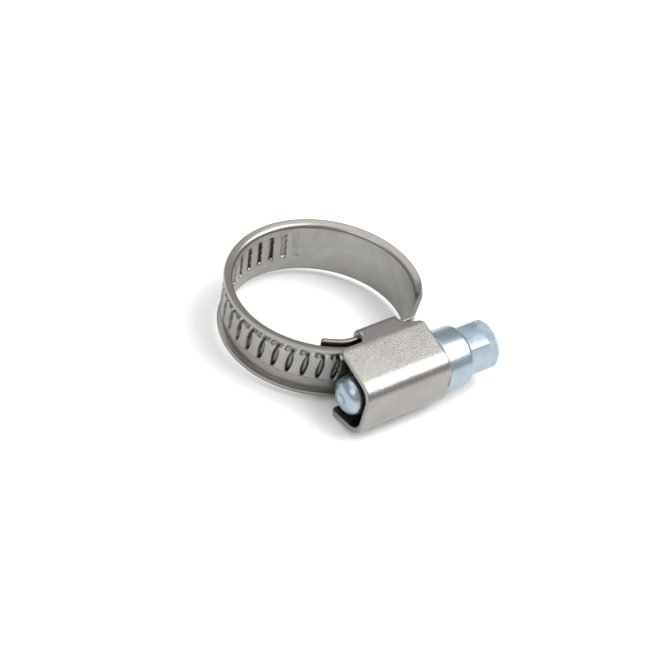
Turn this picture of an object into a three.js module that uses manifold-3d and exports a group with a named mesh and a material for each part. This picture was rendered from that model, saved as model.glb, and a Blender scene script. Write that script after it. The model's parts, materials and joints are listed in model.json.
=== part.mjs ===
// Worm-drive hose clamp: a 9 mm embossed steel band, a folded steel housing and a hexagon worm screw.
//
// Frame: millimetres, +Z along the hose, +X along the screw towards its head, +Y towards the
// ring's centre. The origin is on the housing's saddle, the face that presses on the hose under
// the screw, midway across the band's width. Every piece is built about the ring's own centre
// first, and one group carries them all to the origin.
//
// The band is one flexible strip in the real clamp. A rigid model needs it as a chain, so it is
// built as short stiff segments with a hinge line between each two.

import * as THREE from 'three';
import { mergeVertices } from 'three/addons/utils/BufferGeometryUtils.js';
import Module from 'manifold-3d';

const wasm = await Module();
wasm.setup();

// ---------------------------------------------------------------- driving dimensions

// Ring: the face that touches the hose, a circle pressed slightly oval.
const RING_RADIUS = 12.25;
const RING_OVAL = 0.55;
const OVAL_AXIS_DEG = 51.6;

// Band strip.
const BAND_WIDTH = 9.2;
const SHEET = 0.6;
const LIP_HEIGHT = 1.35; // whole height of the turned-up edge, sheet included
const LIP_WIDTH = 0.42;
const LIP_SLOPE_WIDTH = 0.75;
const EDGE_BREAK = 0.3; // the hose-side corners, eased so that they don't cut the hose

// Embossed thread in the band.
const PITCH = 2.0;
const RIDGE_HEIGHT = 0.85;
const RIDGE_BASE = 0.95;
const RIDGE_TOP = 0.6;
const RIDGE_LENGTH = 5.2;
const RIDGE_END_SLOPE = 0.8; // how much shorter a ridge's top is than its foot
const RIDGE_SUNK = 0.3; // depth that a ridge's foot reaches into the sheet
const RIDGE_SLANT = Math.tan(THREE.MathUtils.degToRad(5.5));
const RIDGE_OFF_MIDDLE = 0.6; // the thread lies a little to one side of the band's middle

// Layers under the screw, measured outwards from the ring's centre to each layer's inner face.
const FIXED_LAYER = 10.5;
const THREADED_LAYER = 11.35;
const LAYER_BLEND = 0.35;
const SIDE_FACING = 0.3; // past this cosine from the screw side, a layer simply follows the ring

// Band stations, as angles round the ring from the screw side towards +X.
const TONGUE_START_DEG = -36;
const TONGUE_HINGE_X = -2.95; // just outside the housing's tab
const LIP_START_DEG = 36;
const LIP_START_OVERLAP = 0.2;
const FIXED_END_STOP_DEG = 47;
const TAIL_START_X = -2.4; // in the groove between two ridges
const TAIL_END_X = 3.6;
const THREADED_FROM_DEG = 168;
const TONGUE_INSET = 0.95; // how far the tongue lies inside the ring
const LONG_SEGMENTS = 6;
const SHORT_SEGMENTS = 3; // next to the screw, where the band bends most
const SHORT_SHARE = 0.6;
const SEGMENT_GAP = 0.3;

// Screw.
const SCREW_OUT = 16.1;
const ROOT_RADIUS = 2.85;
const CREST_RADIUS = 3.55;
const THREAD_BASE = 1.0;
const THREAD_CREST = 0.5;
const THREAD_START_X = -2.4;
const THREAD_TURNS = 4.6;
const THREAD_SUNK = 0.25; // depth that the thread's root reaches into the core
const TIP_X = -7.2;
const DOME_LENGTH = 1.9;
const TIP_FLAT_RADIUS = 0.8;
const COLLAR_X = 8.1;
const COLLAR_RADIUS = 4.3;
const COLLAR_LENGTH = 4.4;
const COLLAR_CHAMFER = 0.55;
const HEX_ACROSS_FLATS = 6.85;
const HEX_END_X = 17.2;
const HEX_CHAMFER = 0.55;
const HEX_CHAMFER_LENGTH = 0.385;
const HEX_OVERLAP = 0.3; // length of the hexagon's root inside the collar
const CORNER_SPARE = 0.05; // how far the turned blank clears the hexagon's corners
const HEX_TURN_DEG = 39;
const SLOT_TURN_DEG = HEX_TURN_DEG + 90; // the slot runs from one flat to the opposite one
const SLOT_WIDTH = 1.2;
const SLOT_DEPTH = 1.6;

// Housing, folded from one sheet.
const HOUSING_SHEET = 0.7;
const HOUSING_LEFT_X = -6.2;
const HOUSING_RIGHT_X = 7.8;
const HOUSING_OUT = 20.5;
const HOUSING_HALF_WIDTH = 5.55;
const HOUSING_CORNER = 3.0;
const CROWN_HALF_WIDTH = 1.6; // the flat between the two outer corners
const LEG_SPLAY_DEG = 11; // the legs spread from the screw to clear the band's edges
const LEG_FOOT_OUT = 12.6;
const TAB_LEFT_X = -1.7;
const TAB_RIGHT_X = 4.8;
const TAB_INNER = 9.75;
const TAB_CORNER = 1.1;
const TAB_SEAM = 0.3;
const TAB_SEAM_ACROSS = -2.2; // the two folded tabs meet off the middle
const MOUTH_CHAMFER = 0.5;

// Fineness of the curved faces.
const ROUTE_STEPS = 2400;
const STEP_LENGTH = 1.15;
const ROUND_SIDES = 32;
const THREAD_STEPS_PER_TURN = 20;

// ---------------------------------------------------------------- finishes

const STEEL = { color: 0xa6a29c, roughness: 0.34, metalness: 1.0 };
const HOUSING_STEEL = { color: 0xb0aca7, roughness: 0.3, metalness: 1.0 };
const ZINC = { color: 0xaab9c6, roughness: 0.28, metalness: 1.0 };

// ---------------------------------------------------------------- solids

const MERGE_DISTANCE = 1e-4;

const toSolid = (geometry) => {
  const bare = geometry.index ? geometry.toNonIndexed() : geometry.clone();
  bare.deleteAttribute('normal');
  bare.deleteAttribute('uv');
  const merged = mergeVertices(bare, MERGE_DISTANCE);
  const vertProperties = new Float32Array(merged.attributes.position.array);
  const triVerts = new Uint32Array(merged.index.array);
  return new wasm.Manifold(new wasm.Mesh({ numProp: 3, vertProperties, triVerts }));
};

const toGeometry = (solid) => {
  const mesh = solid.getMesh();
  const geometry = new THREE.BufferGeometry();
  const positions = new Float32Array(mesh.numVert * 3);
  for (let v = 0; v < mesh.numVert; v += 1) {
    for (let axis = 0; axis < 3; axis += 1) {
      positions[3 * v + axis] = mesh.vertProperties[v * mesh.numProp + axis];
    }
  }
  geometry.setAttribute('position', new THREE.BufferAttribute(positions, 3));
  geometry.setIndex(new THREE.BufferAttribute(new Uint32Array(mesh.triVerts), 1));
  geometry.computeVertexNormals();
  return geometry;
};

const unite = (solids) => solids.reduce((whole, solid) => whole.add(solid));

const reshape = (geometry, move) => {
  const position = geometry.attributes.position;
  const point = new THREE.Vector3();
  for (let v = 0; v < position.count; v += 1) {
    point.fromBufferAttribute(position, v);
    move(point);
    position.setXYZ(v, point.x, point.y, point.z);
  }
  return geometry;
};

const clamp = new THREE.Group();
clamp.position.y = TAB_INNER;

const addPart = (name, geometry, finish) => {
  const mesh = new THREE.Mesh(geometry, new THREE.MeshStandardMaterial(finish));
  mesh.name = name;
  clamp.add(mesh);
};

// ---------------------------------------------------------------- the band's route

const radians = THREE.MathUtils.degToRad;

// The smaller of two radii, rounded off where they meet.
const smoothLeast = (a, b, blend) => {
  const share = Math.max(blend - Math.abs(a - b), 0) / blend;
  return Math.min(a, b) - 0.25 * share * share * blend;
};

// The hose-side face of a layer: the oval, cut flat under the screw at the layer's height.
const layerRadius = (angle, flatHeight, inset) => {
  const oval = RING_RADIUS - inset + RING_OVAL * Math.cos(2 * (angle - radians(OVAL_AXIS_DEG)));
  const facing = Math.cos(angle);
  if (facing < SIDE_FACING) return oval;
  return smoothLeast(oval, flatHeight / facing, LAYER_BLEND);
};

// A route holds its points and the length run at each. The radius is a function of the angle.
const makeRoute = (fromDeg, toDeg, radiusAt) => {
  const points = [];
  const lengths = [0];
  for (let i = 0; i <= ROUTE_STEPS; i += 1) {
    const angle = radians(fromDeg + ((toDeg - fromDeg) * i) / ROUTE_STEPS);
    const radius = radiusAt(angle);
    points.push(new THREE.Vector2(radius * Math.sin(angle), -radius * Math.cos(angle)));
    if (i > 0) lengths.push(lengths[i - 1] + points[i].distanceTo(points[i - 1]));
  }
  const lengthAtDeg = (deg) => {
    const step = Math.round(((deg - fromDeg) / (toDeg - fromDeg)) * ROUTE_STEPS);
    return lengths[step];
  };
  return { points, lengths, lengthAtDeg };
};

const fixedRoute = makeRoute(TONGUE_START_DEG, FIXED_END_STOP_DEG, (angle) =>
  layerRadius(angle, FIXED_LAYER, angle < 0 ? TONGUE_INSET : 0),
);
const loopRoute = makeRoute(FIXED_END_STOP_DEG, 360, (angle) => layerRadius(angle, THREADED_LAYER, 0));

// The point at a length along a route, with the way the route runs there.
const routeAt = (route, length) => {
  let i = 1;
  while (i < ROUTE_STEPS && route.lengths[i] < length) i += 1;
  const start = route.points[i - 1];
  const along = new THREE.Vector2().subVectors(route.points[i], start).normalize();
  return { point: start.clone().addScaledVector(along, length - route.lengths[i - 1]), along };
};

// Bends a straight strip, run along x with its height in y, on to a route. Height is outwards.
const bendOn = (geometry, route) =>
  reshape(geometry, (p) => {
    const { point, along } = routeAt(route, p.x);
    p.set(point.x + along.y * p.y, point.y - along.x * p.y, p.z);
  });

// Lays a straight strip along the screw, with its height outwards.
const layFlat = (geometry) => reshape(geometry, (p) => p.set(p.x, -THREADED_LAYER - p.y, p.z));

// ---------------------------------------------------------------- band pieces

// The strip's cross-section, height over half-width, with turned-up edges if asked.
const stripOutline = (hasLips) => {
  const half = BAND_WIDTH / 2;
  const lipFoot = half - LIP_WIDTH - LIP_SLOPE_WIDTH;
  const upperEdge = hasLips
    ? [
        [half, LIP_HEIGHT],
        [half - LIP_WIDTH, LIP_HEIGHT],
        [lipFoot, SHEET],
      ]
    : [[half, SHEET]];
  const rightSide = [[half - EDGE_BREAK, 0], [half, EDGE_BREAK], ...upperEdge];
  const leftSide = rightSide.map(([across, height]) => [-across, height]).reverse();
  const corners = [...rightSide, ...leftSide];
  return new THREE.Shape(corners.map(([across, height]) => new THREE.Vector2(across, height)));
};

// A straight strip from one length to another: x along, y height, z across.
const straightStrip = (from, to, hasLips) => {
  const depth = to - from;
  const steps = Math.max(1, Math.ceil(depth / STEP_LENGTH));
  const strip = new THREE.ExtrudeGeometry(stripOutline(hasLips), { depth, steps, bevelEnabled: false });
  return reshape(strip, (p) => p.set(from + p.z, p.y, p.x));
};

// One ridge of the embossed thread, leaning with the worm's helix.
const straightRidge = (centre) =>
  reshape(new THREE.BoxGeometry(1, 1, 1), (p) => {
    const isTop = p.y > 0;
    const offMiddle = p.z * (isTop ? RIDGE_LENGTH - RIDGE_END_SLOPE : RIDGE_LENGTH);
    const along = centre - p.x * (isTop ? RIDGE_TOP : RIDGE_BASE) + offMiddle * RIDGE_SLANT;
    p.set(along, isTop ? SHEET + RIDGE_HEIGHT : SHEET - RIDGE_SUNK, RIDGE_OFF_MIDDLE + offMiddle);
  });

const bandPiece = (strips, ridgeCentres, place) =>
  unite([...strips, ...ridgeCentres.map(straightRidge)].map((shape) => toSolid(place(shape))));

// Where the loop meets the tail, and the ridges counted back from there.
const loopEnd = (() => {
  const isPast = (p, i) => i > ROUTE_STEPS / 2 && p.y < 0 && p.x > TAIL_START_X;
  return loopRoute.lengths[loopRoute.points.findIndex(isPast)];
})();
const threadedFrom = loopRoute.lengthAtDeg(THREADED_FROM_DEG);
const ridgesBetween = (from, to) => {
  const centres = [];
  for (let centre = loopEnd - PITCH / 2; centre > threadedFrom; centre -= PITCH) {
    if (centre > from && centre < to) centres.push(centre);
  }
  return centres;
};

// Hinge lines lie in grooves, a whole number of pitches back from the tail.
const hingeLengths = (() => {
  const shares = [...Array(LONG_SEGMENTS).fill(1), ...Array(SHORT_SEGMENTS).fill(SHORT_SHARE)];
  const whole = shares.reduce((sum, share) => sum + share, 0);
  let run = 0;
  const hinges = shares.map((share) => {
    run += share;
    return loopEnd - Math.round(((1 - run / whole) * loopEnd) / PITCH) * PITCH;
  });
  return [0, ...hinges];
})();

// The fixed end lies flat under the screw and becomes the lipped strip on its far side. On the near
// side a springy tongue of it sticks out of the housing.
const onFixedRoute = (shape) => bendOn(shape, fixedRoute);
const tongueHinge = fixedRoute.lengths[fixedRoute.points.findIndex((p) => p.x > TONGUE_HINGE_X)];
const lipStart = fixedRoute.lengthAtDeg(LIP_START_DEG);
const fixedStop = fixedRoute.lengthAtDeg(FIXED_END_STOP_DEG);
const tongueStrip = straightStrip(0, tongueHinge - SEGMENT_GAP / 2, false);
const fixedStrips = [
  straightStrip(tongueHinge + SEGMENT_GAP / 2, lipStart, false),
  straightStrip(lipStart - LIP_START_OVERLAP, fixedStop - SEGMENT_GAP / 2, true),
];
addPart('band_tongue', toGeometry(bandPiece([tongueStrip], [], onFixedRoute)), STEEL);
addPart('band_fixed_end', toGeometry(bandPiece(fixedStrips, [], onFixedRoute)), STEEL);

for (let k = 0; k + 1 < hingeLengths.length; k += 1) {
  const from = hingeLengths[k] + SEGMENT_GAP / 2;
  const to = hingeLengths[k + 1] - SEGMENT_GAP / 2;
  const segment = bandPiece([straightStrip(from, to, true)], ridgesBetween(from, to), (shape) =>
    bendOn(shape, loopRoute),
  );
  addPart(`band_segment_${k + 1}`, toGeometry(segment), STEEL);
}

const tailRidges = [];
for (let centre = TAIL_START_X + PITCH / 2; centre < TAIL_END_X; centre += PITCH) {
  tailRidges.push(centre);
}
const tailStrip = straightStrip(TAIL_START_X + SEGMENT_GAP / 2, TAIL_END_X, true);
addPart('band_tail', toGeometry(bandPiece([tailStrip], tailRidges, layFlat)), STEEL);

// ---------------------------------------------------------------- screw

// Turns a shape made round +Y so that its axis lies along the screw.
const alongScrew = (geometry) => {
  geometry.rotateZ(-Math.PI / 2);
  return geometry.translate(0, -SCREW_OUT, 0);
};

const screwCore = () => {
  const profile = [new THREE.Vector2(0, TIP_X)];
  const domeSteps = 6;
  for (let i = 0; i <= domeSteps; i += 1) {
    const turn = (i / domeSteps) * (Math.PI / 2);
    const radius = TIP_FLAT_RADIUS + (ROOT_RADIUS - TIP_FLAT_RADIUS) * Math.sin(turn);
    profile.push(new THREE.Vector2(radius, TIP_X + DOME_LENGTH * (1 - Math.cos(turn))));
  }
  const collarEnd = COLLAR_X + COLLAR_LENGTH;
  profile.push(new THREE.Vector2(ROOT_RADIUS, COLLAR_X));
  profile.push(new THREE.Vector2(COLLAR_RADIUS, COLLAR_X));
  profile.push(new THREE.Vector2(COLLAR_RADIUS, collarEnd - COLLAR_CHAMFER));
  profile.push(new THREE.Vector2(COLLAR_RADIUS - COLLAR_CHAMFER, collarEnd));
  profile.push(new THREE.Vector2(0, collarEnd));
  return toSolid(alongScrew(new THREE.LatheGeometry(profile, ROUND_SIDES)));
};

const hexHead = () => {
  const start = COLLAR_X + COLLAR_LENGTH - HEX_OVERLAP;
  const length = HEX_END_X - start;
  const cornerRadius = HEX_ACROSS_FLATS / Math.sqrt(3);
  const prism = new THREE.CylinderGeometry(cornerRadius, cornerRadius, length, 6);
  prism.rotateY(radians(HEX_TURN_DEG));
  prism.translate(0, start + length / 2, 0);
  const blankRadius = cornerRadius + CORNER_SPARE;
  const blankStart = COLLAR_X;
  const blankProfile = [
    new THREE.Vector2(0, blankStart),
    new THREE.Vector2(blankRadius, blankStart),
    new THREE.Vector2(blankRadius, HEX_END_X - HEX_CHAMFER_LENGTH),
    new THREE.Vector2(cornerRadius - HEX_CHAMFER, HEX_END_X),
    new THREE.Vector2(0, HEX_END_X),
  ];
  const turnedBlank = new THREE.LatheGeometry(blankProfile, ROUND_SIDES);
  const slot = new THREE.BoxGeometry(SLOT_WIDTH, SLOT_DEPTH * 2, HEX_ACROSS_FLATS * 2);
  slot.rotateY(radians(SLOT_TURN_DEG));
  slot.translate(0, HEX_END_X, 0);
  const head = toSolid(alongScrew(prism)).intersect(toSolid(alongScrew(turnedBlank)));
  return head.subtract(toSolid(alongScrew(slot)));
};

// The worm's thread: a straight bar wound on to the core, right-handed about +X.
const wormThread = () => {
  const bar = new THREE.Shape([
    new THREE.Vector2(-THREAD_BASE / 2, ROOT_RADIUS - THREAD_SUNK),
    new THREE.Vector2(THREAD_BASE / 2, ROOT_RADIUS - THREAD_SUNK),
    new THREE.Vector2(THREAD_CREST / 2, CREST_RADIUS),
    new THREE.Vector2(-THREAD_CREST / 2, CREST_RADIUS),
  ]);
  const steps = Math.round(THREAD_TURNS * THREAD_STEPS_PER_TURN);
  const thread = new THREE.ExtrudeGeometry(bar, { depth: THREAD_TURNS, steps, bevelEnabled: false });
  reshape(thread, (p) => {
    const turn = p.z * 2 * Math.PI;
    const x = THREAD_START_X + p.z * PITCH + p.x;
    p.set(x, -SCREW_OUT + p.y * Math.cos(turn), p.y * Math.sin(turn));
  });
  return toSolid(thread);
};

addPart('worm_screw', toGeometry(unite([screwCore(), hexHead(), wormThread()])), ZINC);

// ---------------------------------------------------------------- housing

// A folded sheet's section in (outwards, across), closed round by its own thickness.
const foldedSection = (outerPath, innerPath) => {
  const shape = new THREE.Shape(outerPath);
  innerPath.reverse().forEach((p) => shape.lineTo(p.x, p.y));
  shape.closePath();
  return shape;
};

const arcPoints = (centreOut, centreAcross, radius, fromDeg, toDeg, steps) =>
  Array.from({ length: steps + 1 }, (_, i) => {
    const angle = radians(fromDeg + ((toDeg - fromDeg) * i) / steps);
    return new THREE.Vector2(centreOut + radius * Math.cos(angle), centreAcross + radius * Math.sin(angle));
  });

// Half the section, from the crown round the corner and down one splayed leg to the band's edge.
// The other half mirrors it.
const legPath = (inset) => {
  const cornerOut = HOUSING_OUT - HOUSING_CORNER;
  const corner = arcPoints(cornerOut, CROWN_HALF_WIDTH, HOUSING_CORNER - inset, 0, 90 - LEG_SPLAY_DEG, 7);
  const cornerEnd = corner[corner.length - 1];
  const drop = HOUSING_HALF_WIDTH - inset - cornerEnd.y;
  const splayEnd = cornerEnd.x - drop / Math.tan(radians(LEG_SPLAY_DEG));
  return [...corner, new THREE.Vector2(splayEnd, HOUSING_HALF_WIDTH - inset)];
};

const mirrored = (points) => points.map((p) => new THREE.Vector2(p.x, -p.y)).reverse();

const hoodSection = () => {
  const path = (inset) => {
    const half = [...legPath(inset), new THREE.Vector2(LEG_FOOT_OUT, HOUSING_HALF_WIDTH - inset)];
    return [...mirrored(half), ...half];
  };
  return foldedSection(path(0), path(HOUSING_SHEET));
};

const wrapSection = () => {
  const path = (inset) => {
    const bendOut = TAB_INNER + TAB_CORNER;
    const bendAcross = HOUSING_HALF_WIDTH - TAB_CORNER;
    const half = [...legPath(inset), ...arcPoints(bendOut, bendAcross, TAB_CORNER - inset, 90, 180, 4)];
    const lowerEdge = new THREE.Vector2(TAB_INNER + inset, TAB_SEAM_ACROSS - TAB_SEAM / 2);
    const upperEdge = new THREE.Vector2(TAB_INNER + inset, TAB_SEAM_ACROSS + TAB_SEAM / 2);
    return [lowerEdge, ...mirrored(half), ...half, upperEdge];
  };
  return foldedSection(path(0), path(HOUSING_SHEET));
};

// Runs a section along the screw. The section's first coordinate is outwards, its second across.
const alongHousing = (section, fromX, toX) => {
  const run = new THREE.ExtrudeGeometry(section, { depth: toX - fromX, steps: 1, bevelEnabled: false });
  return toSolid(reshape(run, (p) => p.set(fromX + p.z, -p.x, -p.y)));
};

// The lower corner of the open end is cut off at a slant.
const mouthCut = () => {
  const past = 1;
  const corner = new THREE.Shape([
    new THREE.Vector2(HOUSING_LEFT_X - past, LEG_FOOT_OUT - past),
    new THREE.Vector2(HOUSING_LEFT_X + MOUTH_CHAMFER + past, LEG_FOOT_OUT - past),
    new THREE.Vector2(HOUSING_LEFT_X - past, LEG_FOOT_OUT + MOUTH_CHAMFER + past),
  ]);
  const depth = HOUSING_HALF_WIDTH * 4;
  const block = new THREE.ExtrudeGeometry(corner, { depth, steps: 1, bevelEnabled: false });
  return toSolid(reshape(block, (p) => p.set(p.x, -p.y, depth / 2 - p.z)));
};

const hood = alongHousing(hoodSection(), HOUSING_LEFT_X, HOUSING_RIGHT_X).subtract(mouthCut());
const wrap = alongHousing(wrapSection(), TAB_LEFT_X, TAB_RIGHT_X);
addPart('housing', toGeometry(hood.add(wrap)), HOUSING_STEEL);

const part = new THREE.Group();
part.add(clamp);

export default part;
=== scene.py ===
"""Worm-drive hose clamp: an embossed steel band, a folded steel housing and a hexagon worm screw.

Sizes in the classes are millimetres, and meshes are written in metres in the row frame: the screw
runs along X, the ring's centre is up +Y from the housing's saddle, and the hose runs along Z.
"""

import bisect
import itertools
import json
import logging
import math
from collections.abc import Callable
from dataclasses import dataclass, field
from enum import Enum
from typing import Any

import bmesh
import bpy
from bmesh.types import BMEdge, BMesh
from bpy.types import Material, Node, NodeSocket, NodeTree, Object
from mathutils import Matrix, Vector


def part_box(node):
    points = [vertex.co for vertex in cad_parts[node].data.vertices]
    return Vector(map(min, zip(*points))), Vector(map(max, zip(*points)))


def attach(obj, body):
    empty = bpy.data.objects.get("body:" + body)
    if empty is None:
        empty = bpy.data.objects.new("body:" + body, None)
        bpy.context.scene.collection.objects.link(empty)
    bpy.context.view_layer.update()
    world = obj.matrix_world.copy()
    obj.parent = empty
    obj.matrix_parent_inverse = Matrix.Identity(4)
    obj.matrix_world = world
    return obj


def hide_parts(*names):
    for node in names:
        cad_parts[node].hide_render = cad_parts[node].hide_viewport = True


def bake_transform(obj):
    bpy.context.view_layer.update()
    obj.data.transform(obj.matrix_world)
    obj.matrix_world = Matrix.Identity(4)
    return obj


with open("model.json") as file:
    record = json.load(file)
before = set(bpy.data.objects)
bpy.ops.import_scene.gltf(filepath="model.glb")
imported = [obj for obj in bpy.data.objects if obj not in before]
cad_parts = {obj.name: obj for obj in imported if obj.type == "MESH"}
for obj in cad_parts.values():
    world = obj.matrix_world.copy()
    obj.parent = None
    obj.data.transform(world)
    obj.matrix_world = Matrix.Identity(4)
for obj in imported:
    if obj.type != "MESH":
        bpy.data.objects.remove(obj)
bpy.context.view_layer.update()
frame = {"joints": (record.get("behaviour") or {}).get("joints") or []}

MM = 0.001
LOG = logging.getLogger("hose_clamp")
FIRST_COLOUR, SECOND_COLOUR = 6, 7  # the colour mix's inputs
MIXED_COLOUR = 2  # and its output
PLAIN_LENGTH = 24.3  # mm of band from where its two layers join to the first ridge
GROOVE_BEFORE_END = 0.5  # mm from the last groove to the end of the loop
HINGE_APART = 1.0  # mm, less than any two hinges of the band lie apart
RIM_ANGLE = 1.0  # radians: a flat sheet's faces meet at more than this only along its rim


# ---- small tools


def to_linear(hex_colour: str) -> tuple[float, float, float, float]:
    """Turns an sRGB hex colour to the linear colour that a shader takes, with an alpha of one."""
    channels = [int(hex_colour[i : i + 2], 16) / 255 for i in (1, 3, 5)]
    linear = [c / 12.92 if c <= 0.04045 else ((c + 0.055) / 1.055) ** 2.4 for c in channels]
    return (linear[0], linear[1], linear[2], 1.0)


def add_node(
    tree: NodeTree,
    kind: str,
    settings: dict[str | int, Any] | None = None,
    links: dict[str | int, NodeSocket] | None = None,
) -> Node:
    """Adds a shader node, sets its sockets and properties, and links what feeds it.

    Args:
        tree: The material's node tree.
        kind: The node's type name.
        settings: Values by socket name or property name.
        links: Output sockets by the name of the input that they feed.

    Returns:
        The new node.
    """
    node = tree.nodes.new(kind)
    for name, value in (settings or {}).items():
        if isinstance(name, str) and hasattr(node, name):
            setattr(node, name, value)
        else:
            node.inputs[name].default_value = value
    for name, socket in (links or {}).items():
        tree.links.new(socket, node.inputs[name])
    return node


def smooth_step(value: float) -> float:
    """Eases a share from 0 to 1, held at both ends."""
    held = min(max(value, 0.0), 1.0)
    return held * held * (3 - 2 * held)


def spread(share: float, stops: list[float], counts: list[int]) -> float:
    """Places an even share of a grid on uneven stops, so that some stretches get more rows.

    Args:
        share: Place in the grid, from 0 to 1.
        stops: Where each stretch begins and ends.
        counts: How many rows each stretch takes.

    Returns:
        The place among the stops.
    """
    row = share * sum(counts)
    for start, stop, count in zip(stops, stops[1:], counts):
        if row <= count:
            return start + (stop - start) * row / count
        row -= count
    return stops[-1]


def new_object(bm: BMesh, name: str) -> Object:
    """Makes an object from a bmesh, which is freed, and links it to the scene."""
    mesh = bpy.data.meshes.new(name)
    bm.to_mesh(mesh)
    bm.free()
    made = bpy.data.objects.new(name, mesh)
    bpy.context.scene.collection.objects.link(made)
    return made


def finish_piece(bm: BMesh, name: str, sharp_angle: float) -> Object:
    """Turns a bmesh in millimetres to a piece in metres, smooth but for edges past the sharp angle."""
    bmesh.ops.scale(bm, vec=(MM, MM, MM), verts=bm.verts[:])
    bm.normal_update()
    for face in bm.faces:
        face.smooth = True
    for edge in bm.edges:
        if len(edge.link_faces) == 2 and edge.calc_face_angle() > sharp_angle:
            edge.smooth = False
    return new_object(bm, name)


def runs_along(edge: BMEdge) -> bool:
    """Says whether an edge of a flat sheet runs more along it than across it."""
    run = edge.verts[1].co - edge.verts[0].co
    return abs(run.x) > abs(run.y)


def flat_plate(
    rows: int,
    columns: int,
    place: Callable[[float, float], tuple[float, float]],
    keep: Callable[[float, float], bool],
    thickness: float,
    edge_round: float,
    is_joint: Callable[[float], bool] = lambda along: False,
) -> BMesh:
    """Makes a flat sheet with thickness and rounded rims, from height 0 up to the thickness.

    Args:
        rows: How many faces along.
        columns: How many faces across.
        place: Gives (along, across) from the even shares of the grid.
        keep: Says whether a face at (along, across) belongs to the sheet.
        thickness: The sheet's thickness.
        edge_round: How far the rim's edges are rounded.
        is_joint: Says whether the sheet goes on in another piece at a place along, and so stays square.

    Returns:
        The plate, with its along and across as its UV map.
    """
    bm = bmesh.new()
    bmesh.ops.create_grid(bm, x_segments=rows, y_segments=columns, size=0.5)
    for vert in bm.verts:
        along, across = place(vert.co.x + 0.5, vert.co.y + 0.5)
        vert.co = (along, across, 0.0)
    unwanted = [f for f in bm.faces if not keep(f.calc_center_median().x, f.calc_center_median().y)]
    bmesh.ops.delete(bm, geom=unwanted, context="FACES")
    bmesh.ops.solidify(bm, geom=bm.faces[:], thickness=thickness)
    bmesh.ops.recalc_face_normals(bm, faces=bm.faces[:])
    lowest = min(vert.co.z for vert in bm.verts)
    bmesh.ops.translate(bm, vec=(0, 0, -lowest), verts=bm.verts[:])
    rims = [e for e in bm.edges if len(e.link_faces) == 2 and e.calc_face_angle() > RIM_ANGLE]
    level = [e for e in rims if abs(e.verts[0].co.z - e.verts[1].co.z) < thickness / 2]
    rounded = [e for e in level if not any(is_joint(vert.co.x) for vert in e.verts) or runs_along(e)]
    bmesh.ops.bevel(
        bm, geom=rounded, offset=edge_round, segments=2, profile=0.5, affect="EDGES", material=-1,
        clamp_overlap=True,
    )
    layer = bm.loops.layers.uv.new("sheet")
    for face in bm.faces:
        for loop in face.loops:
            loop[layer].uv = (loop.vert.co.x * MM, loop.vert.co.y * MM)
    return bm


# ---- finishes


@dataclass(frozen=True)
class Metal:
    """A metal: two tones in soft blotches, and fine marks that show in its shine and its relief."""

    name: str
    colour: str
    dull_colour: str
    smoothest: float  # roughness
    dullest: float
    blotch_size: float  # mm
    blotch_detail: float
    mark_spacing: tuple[float, float, float]  # mm along each axis
    mark_detail: float
    mark_contrast: float
    mark_strength: float
    mark_depth: float  # mm
    blotches_dull: bool  # whether the blotches vary the shine, else the marks do

    def coordinates(self, tree: NodeTree) -> NodeSocket:
        """Gives the Object coordinates, in metres."""
        return add_node(tree, "ShaderNodeTexCoord").outputs["Object"]

    def tint(self, tree: NodeTree, where: NodeSocket, tone: NodeSocket) -> NodeSocket:
        """Gives the colour that shows: here the two tones as they are."""
        return tone

    def blend(self, tree: NodeTree, share: NodeSocket, second: str) -> Node:
        """Adds a mix from the metal's own colour to a second one, which shows as much as the share."""
        colours = {FIRST_COLOUR: to_linear(self.colour), SECOND_COLOUR: to_linear(second)}
        return add_node(tree, "ShaderNodeMix", {"data_type": "RGBA", **colours}, {"Factor": share})

    def make(self) -> Material:
        """Builds the material."""
        material = bpy.data.materials.new(self.name)
        material.use_nodes = True
        tree = material.node_tree
        surface = tree.nodes["Principled BSDF"]
        surface.inputs["Metallic"].default_value = 1.0
        where = self.coordinates(tree)
        blotch = add_node(
            tree, "ShaderNodeTexNoise",
            {"Scale": 1 / (self.blotch_size * MM), "Detail": self.blotch_detail}, {"Vector": where},
        )
        scale = tuple(1 / (spacing * MM) for spacing in self.mark_spacing)
        drawn = add_node(tree, "ShaderNodeMapping", {"Scale": scale}, {"Vector": where})
        marks = add_node(
            tree, "ShaderNodeTexNoise",
            {"Scale": 1.0, "Detail": self.mark_detail, "Roughness": self.mark_contrast},
            {"Vector": drawn.outputs["Vector"]},
        )
        tone = self.blend(tree, blotch.outputs["Fac"], self.dull_colour).outputs[MIXED_COLOUR]
        tree.links.new(self.tint(tree, where, tone), surface.inputs["Base Color"])
        dulling = blotch if self.blotches_dull else marks
        rough = add_node(
            tree, "ShaderNodeMapRange",
            {"To Min": self.smoothest, "To Max": self.dullest}, {"Value": dulling.outputs["Fac"]},
        )
        tree.links.new(rough.outputs["Result"], surface.inputs["Roughness"])
        bump = add_node(
            tree, "ShaderNodeBump",
            {"Strength": self.mark_strength, "Distance": self.mark_depth * MM},
            {"Height": marks.outputs["Fac"]},
        )
        tree.links.new(bump.outputs["Normal"], surface.inputs["Normal"])
        return material


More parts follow.
